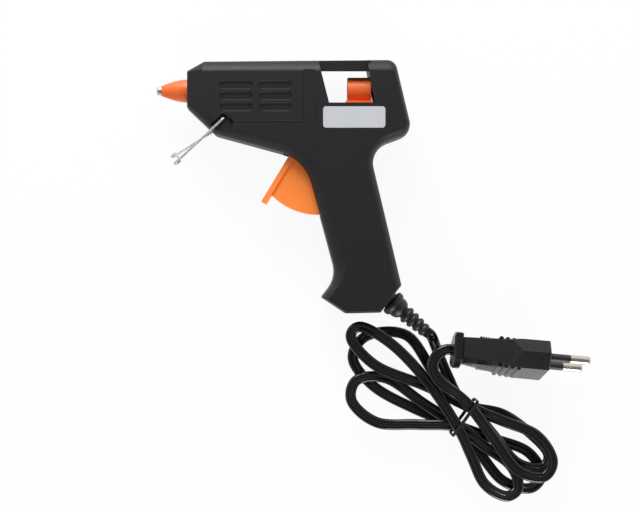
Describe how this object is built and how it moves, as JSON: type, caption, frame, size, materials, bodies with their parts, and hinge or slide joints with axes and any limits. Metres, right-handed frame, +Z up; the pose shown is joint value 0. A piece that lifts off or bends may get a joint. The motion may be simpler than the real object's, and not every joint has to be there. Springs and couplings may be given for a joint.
{
  "type": "hot glue gun",
  "caption": "Small pistol-shaped hot glue gun with orange nozzle, feeder and trigger, a folding wire stand, and a flat mains cord tied in a hank with its plug.",
  "frame": {"origin": "middle of the gun's box, cord and plug left out, on the surface that the gun lies on", "axes": "+Z up through the gun's thickness, +X from the nozzle to the rear, +Y from the handle to the top of the barrel"},
  "size_m": [0.2005, 0.2064, 0.0341],
  "materials": {
    "housing": "fine satin texture",
    "orange": "smooth satin",
    "steel": "plain",
    "label": "satin silver film, bare",
    "nozzle": "turned",
    "chamber": "cast",
    "ceramic": "dark heating element",
    "electrode": "plain",
    "film": "amber film",
    "silicone": "soft",
    "wire_red": "heat-proof insulation",
    "splice": "plain",
    "cord": "glossy flat cord",
    "relief": "soft satin",
    "tie": "plastic-covered wire",
    "plug": "satin",
    "pins": "nickel-plated",
    "bright_wire": "bright zinc-plated"
  },
  "bodies": {
    "housing": {"left_shell": "housing", "right_shell": "housing", "housing_screws": "steel", "label_plate": "label", "nozzle_tip": "nozzle", "nozzle_sleeve": "orange", "melt_chamber": "chamber", "ptc_heater": "ceramic", "heater_electrodes": "electrode", "insulating_film": "film", "heater_clip": "steel", "inlet_sleeve": "silicone", "sleeve_clamp": "steel", "lead_wires": "wire_red", "crimp_splices": "splice", "cord_stub": "cord", "strain_relief": "relief", "trigger_pin": "steel", "return_spring": "steel", "cord_lead": "cord", "cord_hank": "cord", "cord_tail": "cord", "cord_tie": "tie", "plug_body": "plug", "pin_sleeves": "relief", "plug_pins": "pins"},
    "trigger": {"trigger": "orange"},
    "feeder": {"feeder": "orange", "feeder_pin": "steel", "stick_gripper": "steel"},
    "stand": {"wire_stand": "bright_wire"}
  },
  "joints": [
    {"name": "trigger_pull", "type": "hinge", "parent": "housing", "child": "trigger", "pos_m": [0.01645, 0.01807, 0.014], "axis": [0, 0, 1], "range_deg": [0, 34], "stiffness_Nm_per_rad": 0.06, "springref_deg": -8.59},
    {"name": "feeder_slide", "type": "slide", "parent": "housing", "child": "feeder", "axis": [-1, 0, 0], "range_m": [0, 0.0089], "deforming": ["return_spring"]},
    {"name": "stand_swing", "type": "hinge", "parent": "housing", "child": "stand", "pos_m": [-0.02675, 0.03157, 0.014], "axis": [0, 0, 1], "range_deg": [0, 62]}
  ],
  "couplings": [
    {"joint": "feeder_slide", "follows": "trigger_pull", "m_per_rad": 0.014941}
  ]
}
